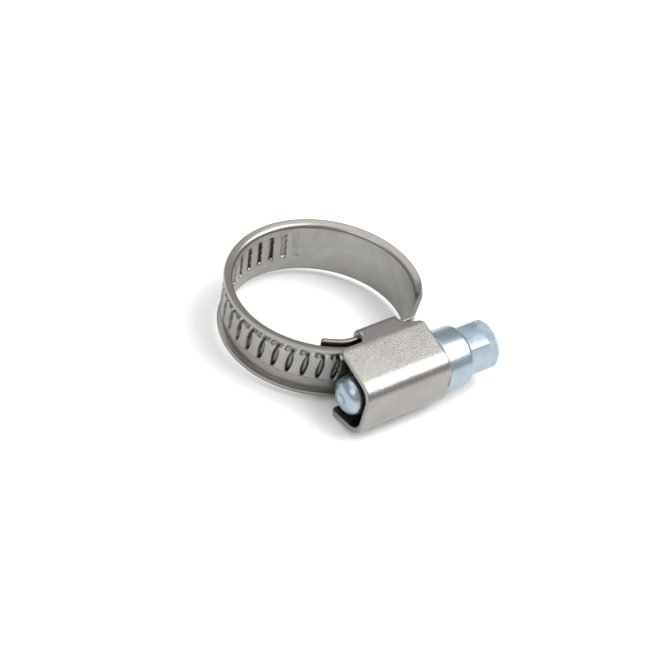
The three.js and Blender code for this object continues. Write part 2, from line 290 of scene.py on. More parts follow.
@dataclass(frozen=True)
class RolledStainless(Metal):
    """Cold-rolled stainless strip, satin: a warm grey with fine lines along it and a brownish rim, with
    painted shade in its grooves, dimples and slots.
    """

    name: str = "rolled_stainless_strip"
    colour: str = "#a3a19c"
    dull_colour: str = "#888682"
    smoothest: float = 0.22
    dullest: float = 0.38
    blotch_size: float = 2.2  # oil and handling marks
    blotch_detail: float = 4.0
    # The rolling lines are drawn coarser than real so that they show.
    mark_spacing: tuple[float, float, float] = (3.0, 0.06, 0.06)
    mark_detail: float = 3.0
    mark_contrast: float = 0.5
    mark_strength: float = 0.12
    mark_depth: float = 0.01
    blotches_dull: bool = True
    rim_colour: str = "#98918a"
    rim_from: float = 3.95  # mm from the middle of the strip
    rim_to: float = 4.3
    rim_share: float = 0.6
    # Painted shade: a dark colour laid into the grooves, dimples and slots, where shade falls.
    painted_groove_shade_colour: str = "#4b4844"
    painted_groove_shade_share: float = 0.6

    def coordinates(self, tree: NodeTree) -> NodeSocket:
        """Gives the strip's own UV map, which holds metres along and across."""
        return add_node(tree, "ShaderNodeUVMap", {"uv_map": "sheet"}).outputs["UV"]

    def tint(self, tree: NodeTree, where: NodeSocket, tone: NodeSocket) -> NodeSocket:
        """Lays the rim's brown and a painted shade in the grooves, dimples and slots over the two tones.

        Args:
            tree: The material's node tree.
            where: The strip's coordinates.
            tone: The two tones.

        Returns:
            The colour that shows.
        """
        split = add_node(tree, "ShaderNodeSeparateXYZ", {}, {"Vector": where})
        across = split.outputs["Y"]
        off_middle = add_node(tree, "ShaderNodeMath", {"operation": "ABSOLUTE"}, {"Value": across})
        ends = {"From Min": self.rim_from * MM, "From Max": self.rim_to * MM}
        rim = add_node(
            tree, "ShaderNodeMapRange",
            {**ends, "To Min": 0.0, "To Max": self.rim_share}, {"Value": off_middle.outputs["Value"]},
        )
        tinted = self.blend(tree, rim.outputs["Result"], self.rim_colour)
        tree.links.new(tone, tinted.inputs[FIRST_COLOUR])
        # Painted shade: darkens the grooves, dimples and slots by each vertex's painted shade share.
        sunk = add_node(tree, "ShaderNodeAttribute", {"attribute_name": "painted_recess_shade"})
        held = add_node(
            tree, "ShaderNodeMath",
            {"operation": "MULTIPLY", 1: self.painted_groove_shade_share}, {0: sunk.outputs["Fac"]},
        )
        darkened = self.blend(tree, held.outputs["Value"], self.painted_groove_shade_colour)
        tree.links.new(tinted.outputs[MIXED_COLOUR], darkened.inputs[FIRST_COLOUR])
        return darkened.outputs[MIXED_COLOUR]


@dataclass(frozen=True)
class PressedStainless(Metal):
    """Pressed stainless sheet, satin: a warm light grey with a fine sparkling grain."""

    name: str = "pressed_stainless_sheet"
    colour: str = "#9d9a96"
    dull_colour: str = "#878480"
    smoothest: float = 0.14
    dullest: float = 0.36
    blotch_size: float = 3.0
    blotch_detail: float = 5.0
    # The grain is drawn coarser than real so that it shows.
    mark_spacing: tuple[float, float, float] = (0.14, 0.14, 0.14)
    mark_detail: float = 2.0
    mark_contrast: float = 0.6
    mark_strength: float = 0.6
    mark_depth: float = 0.03
    blotches_dull: bool = False


@dataclass(frozen=True)
class BlueZinc(Metal):
    """Zinc plate with a blue passivation on cold-formed steel: a cool blue, scratched lengthwise."""

    name: str = "blue_passivated_zinc_plate"
    colour: str = "#a9b6bf"
    dull_colour: str = "#87959f"
    smoothest: float = 0.19
    dullest: float = 0.39
    blotch_size: float = 1.6  # uneven plating
    blotch_detail: float = 4.0
    mark_spacing: tuple[float, float, float] = (2.0, 0.16, 0.16)  # scratches along the screw
    mark_detail: float = 3.0
    mark_contrast: float = 0.5
    mark_strength: float = 0.3
    mark_depth: float = 0.02
    blotches_dull: bool = False


# ---- band


class Body(Enum):
    """The bodies that carry the band and its neighbours."""

    FIXED = "housing_and_fixed_end"
    SCREW = "screw"
    TAIL = "tail"
    TONGUE = "tongue"


@dataclass
class BandRoute:
    """The band's hose-side line, seen along the hose, from the tongue's tip round to the tail."""

    centre_y: float = 9.75  # the ring's centre above the saddle
    ring_radius: float = 12.25
    oval: float = 0.55
    oval_axis: float = math.radians(51.6)
    fixed_layer: float = 10.5
    threaded_layer: float = 11.35
    layer_blend: float = 0.35
    side_facing: float = 0.3
    tongue_inset: float = 0.88
    tongue_start: float = math.radians(-36)
    layers_join: float = math.radians(47)
    tail_start_x: float = -2.4
    steps_per_turn: int = 7200
    points: list[Vector] = field(default_factory=list)
    lengths: list[float] = field(default_factory=list)
    join_length: float = 0.0
    loop_end: float = 0.0

    def __post_init__(self) -> None:
        """Walks the route once and keeps its points and the length run at each."""
        step = 2 * math.pi / self.steps_per_turn
        angle = self.tongue_start
        run = 0.0
        while True:
            is_fixed = angle < self.layers_join
            flat = self.fixed_layer if is_fixed else self.threaded_layer
            inset = self.tongue_inset if angle < 0 else 0.0
            radius = self.radius(angle, flat, inset)
            point = Vector((radius * math.sin(angle), self.centre_y - radius * math.cos(angle)))
            if self.points:
                run += (point - self.points[-1]).length
            self.points.append(point)
            self.lengths.append(run)
            if is_fixed:
                self.join_length = run
            self.loop_end = run
            if angle > 3 * math.pi / 2 and point.x > self.tail_start_x:
                break
            angle += step

    def radius(self, angle: float, flat: float, inset: float) -> float:
        """Gives the distance from the ring's centre to the band's hose side.

        Args:
            angle: Round the ring from the screw side towards +X, in radians.
            flat: Height of the flat layer under the screw.
            inset: How far this stretch lies inside the ring.

        Returns:
            The radius: the oval ring, cut flat under the screw and rounded where they meet.
        """
        ring = self.ring_radius - inset + self.oval * math.cos(2 * (angle - self.oval_axis))
        facing = math.cos(angle)
        if facing < self.side_facing:
            return ring
        cut = flat / facing
        share = max(self.layer_blend - abs(ring - cut), 0.0) / self.layer_blend
        return min(ring, cut) - self.layer_blend * share * share / 4

    def at(self, length: float) -> tuple[Vector, Vector]:
        """Gives the point at a length along the route and the direction there, straight past its end."""
        i = min(max(bisect.bisect_left(self.lengths, length), 1), len(self.points) - 1)
        along = (self.points[i] - self.points[i - 1]).normalized()
        if length > self.loop_end:
            along = Vector((1.0, 0.0))
            return self.points[-1] + along * (length - self.loop_end), along
        return self.points[i - 1] + along * (length - self.lengths[i - 1]), along

    def nearest(self, x: float, y: float, after: float) -> float:
        """Gives the length along the route nearest to a point, past a given length."""
        spot = Vector((x, y))
        later = range(bisect.bisect_left(self.lengths, after), len(self.points))
        return self.lengths[min(later, key=lambda i: (self.points[i] - spot).length)]


@dataclass(frozen=True)
class TurnedEdges:
    """The strip's cross-section: flat in the middle, with both edges turned outwards from the hose."""

    half_width: float
    height: float = 1.35  # of the turned edge, sheet included
    flat_half: float = 4.7  # half width where the edges are not turned
    sheet: float = 0.6
    bend_radius: float = 0.33  # of the sheet's middle
    turn: float = math.radians(78)
    least_turned: float = 0.01  # a smaller share of the bend counts as flat

    @property
    def lip(self) -> float:
        """Straight length past the bend."""
        risen = self.sheet / 2 + self.bend_radius * (1 - math.cos(self.turn))
        return (self.height - risen - self.sheet / 2 * math.cos(self.turn)) / math.sin(self.turn)

    @property
    def flat(self) -> float:
        """Half the flat middle."""
        reach = (self.bend_radius + self.sheet / 2) * math.sin(self.turn)
        return self.half_width - reach - self.lip * math.cos(self.turn)

    @property
    def bend(self) -> float:
        """Length of sheet in one bend."""
        return self.bend_radius * self.turn

    def place(self, across: float, height: float, turned: float) -> tuple[float, float]:
        """Folds a point of the flat sheet into the section.

        Args:
            across: From the middle of the flat sheet.
            height: Above the sheet's hose side.
            turned: Share of the edge's bend that is made, from 0 to 1.

        Returns:
            The place across the band and the height outwards from the hose.
        """
        side = math.copysign(1.0, across)
        reach = abs(across)
        whole = self.flat + self.bend + self.lip
        reach *= (self.flat_half + (whole - self.flat_half) * turned) / whole
        above = height - self.sheet / 2
        bent = min(max(reach - self.flat, 0.0), self.bend)
        past = max(reach - self.flat - self.bend, 0.0)
        if turned < self.least_turned:
            return side * reach, height
        angle = bent / self.bend_radius * turned
        radius = self.bend_radius / turned
        z = min(reach, self.flat) + radius * math.sin(angle) + past * math.cos(angle)
        h = self.sheet / 2 + radius * (1 - math.cos(angle)) + past * math.sin(angle)
        return side * (z - above * math.sin(angle)), h + above * math.cos(angle)


@dataclass(frozen=True)
class EmbossedThread:
    """The worm's thread pressed into the band: raised ridges with leaf-shaped grooves between them."""

    last_groove: float  # length along the route of the groove at the loop's end
    first_length: float  # the thread begins here
    pitch: float = 2.0
    rise: float = 0.58
    off_middle: float = 0.7  # the thread lies a little to one side of the strip's middle
    half_length: float = 2.75
    end_round: float = 0.4
    end_slope: float = 0.6
    groove_half: float = 0.44
    groove_length: float = 2.6
    flank: float = 0.24
    slant: float = math.tan(math.radians(5.0))
    slot_half: float = 0.3
    slot_length: float = 2.2
    slot_depth: float = 0.5
    slot_flank: float = 0.12
    dimple_radius: float = 0.28
    dimple_depth: float = 0.25
    dimple_off: float = 0.2  # along, from the ridge's middle
    dimple_inset: float = 0.5  # from the ridge's end
    lower_dimple: float = 0.45  # depth of the lower dimple as a share of the upper one's
    first_strength: float = 0.15  # the first ridges are pressed more weakly
    strength_gain: float = 0.45  # from one ridge to the next
    weak_spread: float = 0.25  # how much wider than a full one the weakest slot is
    bump_height: float = 0.16  # of the bump at the lower end of the slot
    bump_gap: float = 0.25
    ring_radius: float = 0.8  # of the painted shade ring in a dimple, as a share of the dimple's radius
    painted_shade_ring_width: float = 1 / 3  # and its half width

    def phase(self, along: float, across: float) -> tuple[float, float, float]:
        """Finds the ridge that a point belongs to.

        Args:
            along: Length along the route.
            across: From the middle of the strip.

        Returns:
            Distance from that ridge's middle, distance across from the thread's middle, and how
            strongly the ridge is pressed.
        """
        off = across - self.off_middle
        count = (along - off * self.slant - self.last_groove) / self.pitch - 0.5
        nearest = round(count)
        first = math.ceil((self.first_length - self.last_groove) / self.pitch - 0.5)
        if nearest < first:
            return (count - first) * self.pitch, off, 0.0
        strength = min(1.0, self.first_strength + self.strength_gain * (nearest - first))
        return (count - nearest) * self.pitch, off, strength

    def outer(self, along: float, across: float) -> float:
        """Gives how far the outer face rises at a point, with its grooves and dimples taken off."""
        off_ridge, off, strength = self.phase(along, across)
        if strength == 0.0:
            return 0.0
        reach = self.half_length - self.end_round * off_ridge * off_ridge
        ridge = smooth_step((reach - abs(off)) / self.end_slope)
        if ridge == 0.0:
            return self.dimples(off_ridge, off, strength)
        opening = self.groove_half * max(0.0, 1 - (off / self.groove_length) ** 2)
        from_groove = self.pitch / 2 - abs(off_ridge)
        crown = smooth_step((from_groove + self.flank - opening) / self.flank)
        return strength * self.rise * ridge * crown + self.dimples(off_ridge, off, strength)

    def dimples(self, off_ridge: float, off: float, strength: float) -> float:
        """Gives the small round pits at both ends of a ridge, deeper at its upper end."""
        depth = 0.0
        for end, share in ((1.0, 1.0), (-1.0, self.lower_dimple)):
            across = end * (self.half_length - self.dimple_inset)
            away = math.hypot(off_ridge - self.dimple_off * end, off - across)
            if away < self.dimple_radius:
                depth -= share * strength * self.dimple_depth * (1 - (away / self.dimple_radius) ** 2)
        return depth

    def painted_recess_shade(self, along: float, across: float, is_outer: bool) -> float:
        """Gives the painted shade at a point: how far it lies down in a groove or slot, and a dark ring
        round each upper dimple, as a share for the finish.

        Args:
            along: Length along the route.
            across: From the middle of the strip.
            is_outer: Whether the point is on the outer face, else on the hose side.

        Returns:
            A share from 0, in the open, to 1, at the bottom.
        """
        off_ridge, off, strength = self.phase(along, across)
        if not is_outer:
            wide = smooth_step((self.slot_half + self.slot_flank - abs(off_ridge)) / self.slot_flank)
            long = smooth_step((self.slot_length + self.slot_flank - abs(off)) / self.slot_flank)
            return strength * wide * long
        opening = self.groove_half * (1 - (off / self.groove_length) ** 2)
        from_groove = self.pitch / 2 - abs(off_ridge)
        deep = smooth_step((opening - from_groove) / self.flank + 0.5) if opening > 0.0 else 0.0
        # Painted shade: a dark ring round the upper dimple.
        away = math.hypot(off_ridge - self.dimple_off, off - self.half_length + self.dimple_inset)
        off_ring = abs(away / self.dimple_radius - self.ring_radius)
        return strength * max(deep, smooth_step(1.5 - off_ring / self.painted_shade_ring_width))

    def inner(self, along: float, across: float) -> float:
        """Gives how deep the slot behind a ridge is at a point, less the bump at its lower end."""
        off_ridge, off, strength = self.phase(along, across)
        if strength == 0.0:
            return 0.0
        half = self.slot_half + (1 - strength) * self.weak_spread
        wide = smooth_step((half - abs(off_ridge)) / self.slot_flank + 0.5)
        long = smooth_step((self.slot_length - abs(off)) / self.slot_flank)
        away = math.hypot(off_ridge + self.dimple_off, off + self.slot_length + self.bump_gap)
        bump = self.bump_height * max(0.0, 1 - (away / self.dimple_radius) ** 2)
        return strength * (self.slot_depth * wide * long - bump)


@dataclass
class Band:
    """The strip that goes round the hose, in pieces cut midway between the model's hinges."""

    route: BandRoute
    edges: TurnedEdges
    thread: EmbossedThread
    hinges: list[float]  # lengths along the route of band_flex_1, band_flex_2, ...
    tongue_hinge: float
    tail_end: float
    lips_from: float = 15.0
    lips_over: float = 7.0
    tip_round: float = 0.4
    edge_round: float = 0.06
    plain_row: float = 0.16
    thread_row: float = 0.112
    end_gap: float = 0.15  # half the opening between the loop's end and the tail
    least_rows: int = 4
    lip_columns: int = 3
    bend_columns: int = 7
    plain_columns: int = 16
    thread_columns: int = 60
    touch: float = 0.001  # places nearer than this are the same
    tongue_reach: float = 0.4  # half the stretch each side of the tongue's hinge that is looked up; nothing bends there
    hinge_share: float = 0.8  # share of a piece's shorter side that is looked up at its hinge; nothing bends there
    sharp_angle: float = math.radians(50)

    def turned(self, along: float) -> float:
        """Gives the share of the edges' bend that is made at a length along the route."""
        return smooth_step((along - self.lips_from) / self.lips_over)

    def tip_share(self, along: float) -> float:
        """Narrows the strip at the tongue's tip, which has round corners."""
        if along >= self.tip_round:
            return 1.0
        cut = self.tip_round - math.sqrt(self.tip_round**2 - (self.tip_round - along) ** 2)
        return 1.0 - cut / self.edges.half_width

    def strip(self, name: str, start: float, stop: float) -> Object:
        """Builds one piece of the strip between two lengths along the route.

        Args:
            name: The piece's name.
            start: Length at which it begins.
            stop: Length at which it ends.

        Returns:
            The piece.
        """
        edges = self.edges
        is_threaded = stop > self.thread.first_length - self.thread.pitch
        row = self.thread_row if is_threaded else self.plain_row
        rows = max(self.least_rows, math.ceil((stop - start) / row))
        whole = edges.flat + edges.bend + edges.lip
        stops = [-whole, -whole + edges.lip, -edges.flat, edges.flat, whole - edges.lip, whole]
        flat_columns = self.thread_columns if is_threaded else self.plain_columns
        counts = [self.lip_columns, self.bend_columns, flat_columns, self.bend_columns, self.lip_columns]

        def place(along: float, across: float) -> tuple[float, float]:
            """Gives the length and the place across for even shares of the grid."""
            length = start + (stop - start) * along
            return length, spread(across, stops, counts) * self.tip_share(length)

        def is_joint(along: float) -> bool:
            """Says whether the strip goes on in another piece here."""
            is_inside = self.touch < along < self.tail_end - self.touch
            return is_inside and min(along - start, stop - along) < self.touch

        bm = flat_plate(
            rows, sum(counts), place, lambda along, across: True, edges.sheet, self.edge_round, is_joint
        )
        # Painted shade: each vertex gets a darkening share for the grooves, dimples and slots, read by the
        # band's material.
        painted_recess_shade = bm.verts.layers.float.new("painted_recess_shade")
        for vert in bm.verts:
            along, across, height = vert.co
            share = height / edges.sheet
            pressed = 0.0
            if is_threaded and abs(across) < edges.flat:
                vert[painted_recess_shade] = self.thread.painted_recess_shade(along, across, share > 0.5)
                pressed = self.thread.inner(along, across) * (1 - share)
                pressed += self.thread.outer(along, across) * share
            z, outward = edges.place(across, height + pressed, self.turned(along))
            point, direction = self.route.at(along)
            vert.co = (point.x + direction.y * outward, point.y - direction.x * outward, z)
        piece = finish_piece(bm, name, self.sharp_angle)
        return piece

    def bend(self, piece: Object, first: str, second: str, hinge: float, reach: float) -> None:
        """Looks up the route either side of the hinge's length and bakes a piece's placement into its mesh;
        the piece is not bent, and the two bodies are not used.
        """
        before, _ = self.route.at(hinge - reach)
        after, _ = self.route.at(hinge + reach)
        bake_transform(piece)

    def build(self) -> list[Object]:
        """Builds the strip's pieces, from the tongue to the tail, and ties the last piece and the tail to
        their bodies.
        """
        marks = [*self.hinges, self.route.loop_end]
        middles = [(a + b) / 2 for a, b in zip(marks, marks[1:])]
        under_screw = (self.tongue_hinge + marks[0]) / 2
        pieces = []

        tongue = self.strip("band_strip_tongue", 0.0, under_screw)
        self.bend(tongue, Body.TONGUE.value, Body.FIXED.value, self.tongue_hinge, self.tongue_reach)
        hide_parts("band_tongue")
        pieces.append(tongue)

        cuts = [under_screw, *middles]
        bodies = [Body.FIXED.value, *(f"segment_{k + 1}" for k in range(len(middles)))]
        nodes = ["band_fixed_end", *(f"band_segment_{k + 1}" for k in range(len(middles)))]
        for k, (start, stop) in enumerate(zip(cuts, cuts[1:])):
            piece = self.strip(f"band_strip_{k + 1}", start, stop)
            reach = self.hinge_share * min(marks[k] - start, stop - marks[k])
            self.bend(piece, bodies[k], bodies[k + 1], marks[k], reach)
            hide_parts(nodes[k])
            pieces.append(piece)

        last = self.strip(f"band_strip_{len(cuts)}", cuts[-1], self.route.loop_end - self.end_gap)
        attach(last, bodies[-1])
        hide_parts(nodes[-1])
        pieces.append(last)

        tail = self.strip("band_strip_tail", self.route.loop_end + self.end_gap, self.tail_end)
        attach(tail, Body.TAIL.value)
        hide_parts("band_tail")
        pieces.append(tail)
        return pieces


# ---- housing


@dataclass(frozen=True)
class Fold:
    """One stretch of a folded sheet's section, flat where its radius is 0, else bent round that radius."""

    length: float
    radius: float = 0.0


@dataclass
class Housing:
    """The shell folded over the screw, down both edges of the band and in under its fixed end."""

    left_x: float
    right_x: float
    outer: float  # distance of the crown from the saddle
    half_width: float
    sheet: float = 0.8
    corner_radius: float = 3.0
    crown_half: float = 1.6
    splay: float = math.radians(11)
    splay_bend: float = 1.6
    foot_out: float = 2.65  # distance of the legs' feet from the saddle
    tab_left: float = -1.7
    tab_right: float = 4.8
    tab_corner: float = 1.1
    seam_z: float = -2.2
    seam: float = 0.3
    foot_round: float = 0.8
    left_fillet: float = 0.7
    right_fillet: float = 2.5
    fillet_drop: float = 1.0
    mouth_lean: float = 0.4  # the open end leans this much to each side
    foot_rise: float = 1.4  # the lower foot is cut back this much at the open end
    rise_run: float = 3.0
    fillet_power: float = 1.6
    edge_round: float = 0.12
    fold_rows: tuple[int, ...] = (2, 14, 14, 3, 8, 8, 4)
    skirt_fold: int = 4  # which stretch ends in the feet
    foot_row: int = 5  # the row of the skirt that becomes the foot's edge
    left_rows: int = 16
    tab_rows: int = 12
    right_rows: int = 14
    sharp_angle: float = math.radians(40)

    def folds(self, tab_length: float) -> list[Fold]:
        """Lists the section's stretches, from the crown's middle to the free edge of a tab this long."""
        middle = self.corner_radius - self.sheet / 2
        turn = math.pi / 2 - self.splay
        start_z = self.crown_half + middle * math.sin(turn)
        easing = self.splay_bend * (1 - math.cos(self.splay))
        run_z = self.half_width - self.sheet / 2 - start_z - easing
        leg = run_z / math.sin(self.splay)
        leg_end = self.outer - self.corner_radius + middle * math.cos(turn)
        leg_end -= leg * math.cos(self.splay) + self.splay_bend * math.sin(self.splay)
        skirt = leg_end - self.tab_corner
        tab_radius = self.tab_corner - self.sheet / 2
        return [
            Fold(self.crown_half),
            Fold(middle * turn, middle),
            Fold(leg),
            Fold(self.splay_bend * self.splay, self.splay_bend),
            Fold(skirt),
            Fold(tab_radius * math.pi / 2, tab_radius),
            Fold(tab_length),
        ]

    def fold(self, across: float, height: float, folds: list[Fold]) -> tuple[float, float]:
        """Folds a point of the flat sheet into the section.

        Args:
            across: Along the flat sheet from the crown's middle, all one side.
            height: Above the sheet's inner face.
            folds: The section's stretches.

        Returns:
            Distance out from the saddle, and distance across from the middle.
        """
        out, aside, heading = self.outer - self.sheet / 2, 0.0, 0.0
        left = across
        for stretch in folds:
            step = min(left, stretch.length)
            if stretch.radius:
                turn = step / stretch.radius
                out += stretch.radius * (math.cos(heading + turn) - math.cos(heading))
                aside += stretch.radius * (math.sin(heading + turn) - math.sin(heading))
                heading += turn
            else:
                out -= step * math.sin(heading)
                aside += step * math.cos(heading)
            left -= step
            if left <= 0:
                break
        above = height - self.sheet / 2
        return out + above * math.cos(heading), aside + above * math.sin(heading)

    def build(self) -> Object:
        """Cuts the flat blank, gives it thickness, folds it and ties it to its body."""
        tab_start = self.half_width - self.tab_corner
        upper = self.folds(tab_start - self.seam_z - self.seam / 2)
        lower = self.folds(tab_start + self.seam_z - self.seam / 2)
        stops = [0.0, *itertools.accumulate(stretch.length for stretch in upper)]
        lower_stops = [0.0, *itertools.accumulate(stretch.length for stretch in lower)]
        across_stops = [-s for s in reversed(lower_stops)] + stops[1:]
        across_counts = [*reversed(self.fold_rows), *self.fold_rows]
        leg_start = stops[self.skirt_fold - 2]
        skirt_start, skirt_end = stops[self.skirt_fold : self.skirt_fold + 2]
        foot = skirt_end - (self.foot_out - self.tab_corner)
        along_stops = [self.left_x, self.tab_left, self.tab_right, self.right_x]
        along_counts = [self.left_rows, self.tab_rows, self.right_rows]

        def foot_line(x: float, is_lower: bool) -> float:
            """Where the foot's edge lies along the flat sheet, with its rounded corners."""
            if self.tab_left <= x <= self.tab_right:
                return foot + self.fillet_drop
            is_left = x < self.tab_left
            fillet = self.left_fillet if is_left else self.right_fillet
            tab_gap = self.tab_left - x if is_left else x - self.tab_right
            line = foot
            if is_left and is_lower:
                line -= self.foot_rise * smooth_step(tab_gap / self.rise_run)
            if tab_gap < fillet:
                line += self.fillet_drop * (1 - tab_gap / fillet) ** self.fillet_power
            end_gap = max(min(x - self.left_x, self.right_x - x), 0.0)
            if end_gap < self.foot_round:
                left = self.foot_round - end_gap
                line -= self.foot_round - math.sqrt(self.foot_round**2 - left**2)
            return line

        def place(along: float, across: float) -> tuple[float, float]:
            """Gives the place along and across for even shares of the grid."""
            return spread(along, along_stops, along_counts), spread(across, across_stops, across_counts)

        skirt_rows = self.fold_rows[self.skirt_fold]
        foot_row = skirt_start + (skirt_end - skirt_start) * self.foot_row / skirt_rows

        def keep(along: float, across: float) -> bool:
            """Keeps the tabs, and elsewhere what lies above the feet."""
            return self.tab_left < along < self.tab_right or abs(across) < foot_row

        def shift(along: float, across: float) -> float:
            """Slides the leg's rows so that one of them lies on the foot's line."""
            reach = abs(across)
            line = foot_line(along, across < 0)
            if leg_start < reach <= foot_row:
                reach = leg_start + (reach - leg_start) * (line - leg_start) / (foot_row - leg_start)
            elif foot_row < reach < skirt_end:
                reach = line + (reach - foot_row) * (skirt_end - line) / (skirt_end - foot_row)
            return math.copysign(reach, across)

        bm = flat_plate(sum(along_counts), sum(across_counts), place, keep, self.sheet, self.edge_round)
        for vert in bm.verts:
            along, across, height = vert.co
            across = shift(along, across)
            out, aside = self.fold(abs(across), height, upper if across > 0 else lower)
            z = math.copysign(aside, across)
            if along < self.tab_left:
                lean = self.mouth_lean * z / self.half_width
                along += lean * (self.tab_left - along) / (self.tab_left - self.left_x)
            vert.co = (along, -out, z)
        piece = finish_piece(bm, "housing_shell", self.sharp_angle)
        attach(piece, Body.FIXED.value)
        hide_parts("housing")
        return piece


# ---- screw


@dataclass
class WormScrew:
    """The screw: domed tip, worm thread, round collar and hexagon head, cold-formed in one piece."""

    axis_y: float
    tip_x: float
    end_x: float
    collar_radius: float = 4.3
    root_radius: float = 2.85
    crest_radius: float = 3.55
    dome_length: float = 1.9
    tip_radius: float = 0.8
    dent_depth: float = 0.4  # of the cold-forming mark in the tip
    thread_start: float = -2.4
    thread_turns: float = 4.6
    thread_base: float = 1.0
    thread_crest: float = 0.5
    pitch: float = 2.0
    sunk: float = 0.25
    collar_x: float = 8.1
    collar_length: float = 4.4
    shoulder: float = 0.7
    flats: float = 6.85
    hex_turn: float = math.radians(9)  # of one corner, from +Y towards +Z
    hex_chamfer: float = 0.55
    chamfer_lean: float = math.radians(35)
    slot_width: float = 1.2
    slot_depth: float = 1.6
    slot_turn: float = math.radians(120)  # from the hexagon's corner to the way across the slot
    dent_width: float = 0.85  # radius of the mark in the tip, as a share of the tip's
    tip_land: float = 0.06  # how far the mark's edge lies behind the tip
    collar_round: float = 0.25  # on the collar's housing side
    root_depth: float = 0.2  # how far the hexagon runs into the collar
    thread_fade: float = 0.75  # length of the thread's ends, in widths of its base
    faded: float = 0.05  # how far a faded thread lies under the core
    edge_round: float = 0.12
    sides: int = 96
    dome_steps: int = 10
    thread_steps: int = 36  # a turn
    chamfer_planes: int = 36
    sharp_angle: float = math.radians(35)

    def profile(self) -> list[tuple[float, float]]:
        """Lists the turned outline as (along the screw, radius)."""
        quarter = [math.pi / 2 * i / self.dome_steps for i in range(self.dome_steps + 1)]
        rise = self.root_radius - self.tip_radius
        dome = [
            (self.tip_x + self.dome_length * (1 - math.cos(a)), self.tip_radius + rise * math.sin(a))
            for a in quarter
        ]
        dent = self.tip_radius * self.dent_width
        tip = [(self.tip_x + self.dent_depth, 0.0), (self.tip_x + self.tip_land, dent)]
        small, large = self.collar_round, self.shoulder
        start, end = self.collar_x, self.collar_x + self.collar_length
        near = [
            (start + small * (1 - math.sin(a)), self.collar_radius - small * (1 - math.cos(a)))
            for a in reversed(quarter)
        ]
        far = [
            (end - large * (1 - math.sin(a)), self.collar_radius - large * (1 - math.cos(a)))
            for a in quarter
        ]
        return [*tip, *dome, (start, self.root_radius), *near, *far, (end, 0.0)]

    def turn(self, bm: BMesh) -> None:
        """Spins the outline round the screw's axis."""
        verts = [bm.verts.new((x, radius, 0.0)) for x, radius in self.profile()]
        edges = [bm.edges.new(pair) for pair in zip(verts, verts[1:])]
        bmesh.ops.spin(
            bm, geom=verts + edges, cent=(0, 0, 0), axis=(1, 0, 0), dvec=(0, 0, 0),
            angle=2 * math.pi, steps=self.sides, use_merge=True, use_duplicate=False,
        )
        bmesh.ops.remove_doubles(bm, verts=bm.verts[:], dist=1e-4)
        bmesh.ops.recalc_face_normals(bm, faces=bm.faces[:])

    def wind(self, bm: BMesh) -> None:
        """Winds the thread's bar round the core, right-handed about +X, thinning out at both ends."""
        thread = bmesh.new()
        root = self.root_radius - self.sunk
        corners = [
            (-self.thread_base / 2, root), (self.thread_base / 2, root),
            (self.thread_crest / 2, self.crest_radius), (-self.thread_crest / 2, self.crest_radius),
        ]
        verts = [thread.verts.new((self.thread_start + x, radius, 0.0)) for x, radius in corners]
        start = thread.faces.new(verts)
        steps = round(self.thread_turns * self.thread_steps)
        bmesh.ops.spin(
            thread, geom=[start, *start.edges, *start.verts], cent=(0, 0, 0), axis=(1, 0, 0),
            dvec=(self.pitch * self.thread_turns / steps, 0, 0), angle=2 * math.pi * self.thread_turns,
            steps=steps, use_merge=False, use_duplicate=False,
        )
        bmesh.ops.remove_doubles(thread, verts=thread.verts[:], dist=1e-4)
        bmesh.ops.recalc_face_normals(thread, faces=thread.faces[:])
        stop = self.thread_start + self.pitch * self.thread_turns
        for vert in thread.verts:
            from_end = min(vert.co.x - self.thread_start, stop - vert.co.x) + self.thread_base / 2
            share = smooth_step(from_end / (self.thread_fade * self.thread_base))
            radius = math.hypot(vert.co.y, vert.co.z)
            if radius > self.root_radius:
                under = self.root_radius - self.faded
                lowered = under + (radius - under) * share
                vert.co.y *= lowered / radius
                vert.co.z *= lowered / radius
        self.add(bm, thread)

    def hexagon(self, start: float, end: float) -> BMesh:
        """Makes a hexagonal bar along the screw between two places."""
        bar = bmesh.new()
        corner = self.flats / math.sqrt(3)
        upright = Matrix.Rotation(math.pi / 2, 4, "Y")
        turned = Matrix.Rotation(self.hex_turn, 4, "X")
        middle = Matrix.Translation(((start + end) / 2, 0, 0))
        bmesh.ops.create_cone(
            bar, cap_ends=True, segments=6, radius1=corner, radius2=corner, depth=end - start,
            matrix=middle @ turned @ upright,
        )
        bmesh.ops.recalc_face_normals(bar, faces=bar.faces[:])
        return bar

    def cut(self, bar: BMesh, point: Vector, normal: Vector) -> None:
        """Cuts off what lies past the plane at a point, on its normal's side, and closes the cut."""
        result = bmesh.ops.bisect_plane(
            bar, geom=bar.verts[:] + bar.edges[:] + bar.faces[:], dist=1e-5,
            plane_co=tuple(point), plane_no=tuple(normal), clear_outer=True, clear_inner=False,
        )
        rim = [e for e in result["geom_cut"] if isinstance(e, BMEdge) and e.is_boundary]
        if rim:
            bmesh.ops.holes_fill(bar, edges=rim, sides=0)

    def head(self, bm: BMesh) -> None:
        """Builds the hexagon with its turned chamfer and screwdriver slot."""
        floor = self.end_x - self.slot_depth
        base = self.hexagon(self.collar_x + self.collar_length - self.root_depth, floor)
        self.ease(base)
        self.add(bm, base)
        slot_turn = self.hex_turn + self.slot_turn
        across = Vector((0, math.cos(slot_turn), math.sin(slot_turn)))
        chamfer_radius = self.flats / math.sqrt(3) - self.hex_chamfer
        for side in (1, -1):
            land = self.hexagon(floor, self.end_x)
            self.cut(land, across * side * self.slot_width / 2, -across * side)
            for i in range(self.chamfer_planes):
                angle = 2 * math.pi * i / self.chamfer_planes
                outward = Vector((0, math.cos(angle), math.sin(angle)))
                point = outward * chamfer_radius + Vector((self.end_x, 0, 0))
                normal = outward * math.cos(self.chamfer_lean) + Vector((math.sin(self.chamfer_lean), 0, 0))
                self.cut(land, point, normal)
            self.add(bm, land)

